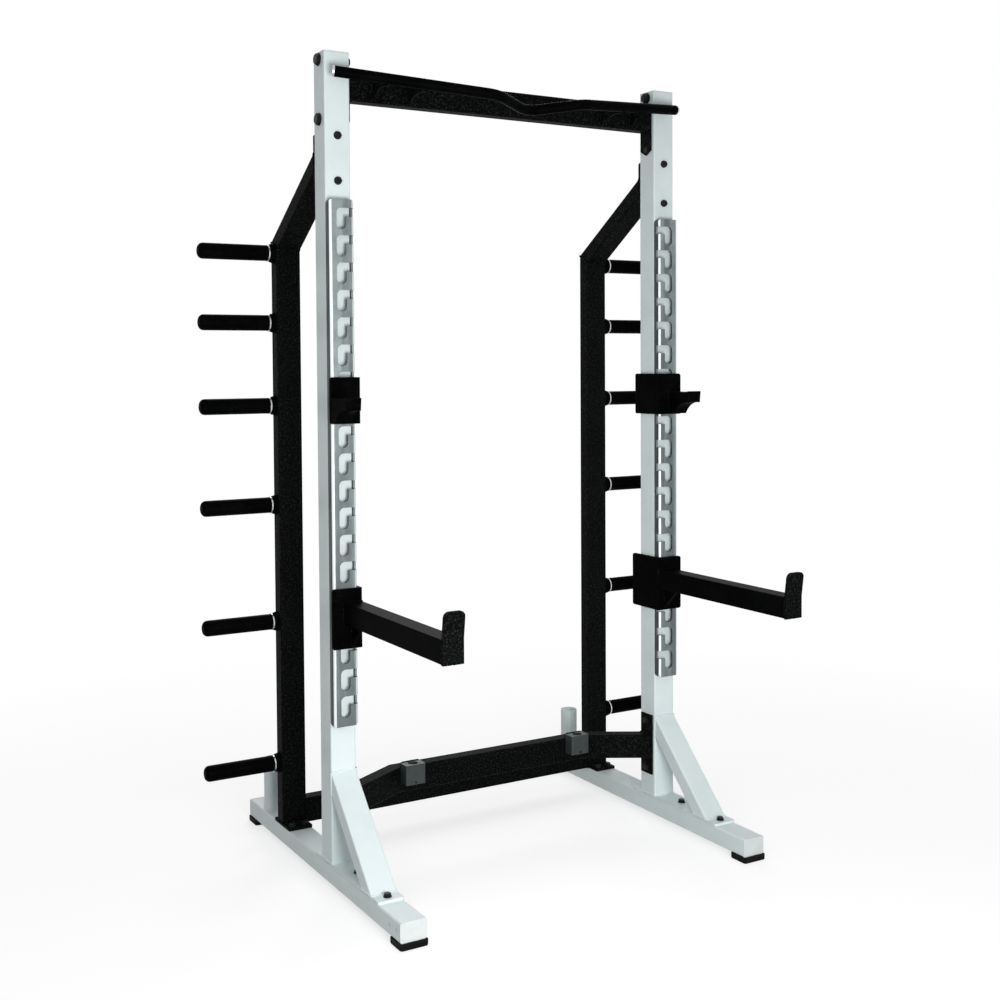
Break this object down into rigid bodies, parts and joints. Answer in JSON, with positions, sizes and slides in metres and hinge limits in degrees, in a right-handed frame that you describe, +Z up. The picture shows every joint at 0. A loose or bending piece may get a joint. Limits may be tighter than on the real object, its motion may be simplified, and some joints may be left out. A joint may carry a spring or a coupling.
{
  "type": "half rack",
  "caption": "Free-standing half rack: white front uprights with slotted hook channels, J-cups, spotter arms and pull-up bar, black rear posts with plate pegs.",
  "frame": {"origin": "on the floor, under the middle of the overall box", "axes": "+Z up, -Y to the front where the lifter walks in with the spotter arms, +X to the right seen from the front"},
  "size_m": [1.759, 1.387, 2.466],
  "materials": {
    "white_powder_coat": "semi-gloss powder coat",
    "black_texture_coat": "fine speckled powder coat",
    "black_satin_coat": "satin powder coat",
    "grey_powder_coat": "matte powder coat",
    "zinc_plated_steel": "dull zinc plate",
    "bright_steel": "polished",
    "black_oxide_steel": "black oxide",
    "black_rubber": "matte",
    "black_plastic": "matte",
    "white_plastic": "matte"
  },
  "bodies": {
    "rack_frame": {"rail_end_caps": "white_plastic", "upright_caps": "white_powder_coat", "top_beam": "black_texture_coat", "beam_end_plates": "black_texture_coat", "pull_up_bar": "black_satin_coat", "bar_end_caps": "bright_steel", "lower_front_beam": "black_texture_coat", "lower_end_plates": "black_texture_coat", "set_screws": "black_oxide_steel", "rear_cross_tube": "black_texture_coat", "peg_collars": "black_plastic", "peg_rings": "bright_steel", "base_bolts": "black_oxide_steel", "rear_arm_bolts": "black_oxide_steel", "beam_bolts": "black_oxide_steel", "left_base_rail": "white_powder_coat", "left_front_foot": "black_rubber", "left_rear_foot": "black_rubber", "left_front_upright": "white_powder_coat", "left_upright_base_plate": "white_powder_coat", "left_upright_brace": "white_powder_coat", "left_hook_channel": "zinc_plated_steel", "left_rear_post": "black_texture_coat", "left_rear_arm": "black_texture_coat", "left_rear_post_foot_plate": "black_texture_coat", "left_rear_arm_plate": "black_texture_coat", "left_plate_pegs": "black_satin_coat", "left_bar_brackets": "black_texture_coat", "left_peg_socket": "grey_powder_coat", "left_bar_holder": "white_powder_coat", "right_base_rail": "white_powder_coat", "right_front_foot": "black_rubber", "right_rear_foot": "black_rubber", "right_front_upright": "white_powder_coat", "right_upright_base_plate": "white_powder_coat", "right_upright_brace": "white_powder_coat", "right_hook_channel": "zinc_plated_steel", "right_rear_post": "black_texture_coat", "right_rear_arm": "black_texture_coat", "right_rear_post_foot_plate": "black_texture_coat", "right_rear_arm_plate": "black_texture_coat", "right_plate_pegs": "black_satin_coat", "right_bar_brackets": "black_texture_coat", "right_peg_socket": "grey_powder_coat", "right_bar_holder": "white_powder_coat"},
    "left_j_cup": {"left_j_cup_bracket": "black_satin_coat", "left_j_cup_horn": "black_satin_coat", "left_j_cup_studs": "zinc_plated_steel"},
    "left_spotter_arm": {"left_spotter_bracket": "black_satin_coat", "left_spotter_arm": "black_satin_coat", "left_spotter_stop": "black_satin_coat", "left_spotter_studs": "zinc_plated_steel"},
    "right_j_cup": {"right_j_cup_bracket": "black_satin_coat", "right_j_cup_horn": "black_satin_coat", "right_j_cup_studs": "zinc_plated_steel"},
    "right_spotter_arm": {"right_spotter_bracket": "black_satin_coat", "right_spotter_arm": "black_satin_coat", "right_spotter_stop": "black_satin_coat", "right_spotter_studs": "zinc_plated_steel"}
  },
  "joints": [
    {"name": "left_j_cup_lift", "type": "slide", "parent": "rack_frame", "child": "left_j_cup", "axis": [0, 0, 1], "range_m": [0, 0.0372]},
    {"name": "left_spotter_arm_lift", "type": "slide", "parent": "rack_frame", "child": "left_spotter_arm", "axis": [0, 0, 1], "range_m": [0, 0.0372]},
    {"name": "right_j_cup_lift", "type": "slide", "parent": "rack_frame", "child": "right_j_cup", "axis": [0, 0, 1], "range_m": [0, 0.0372]},
    {"name": "right_spotter_arm_lift", "type": "slide", "parent": "rack_frame", "child": "right_spotter_arm", "axis": [0, 0, 1], "range_m": [0, 0.0372]}
  ]
}
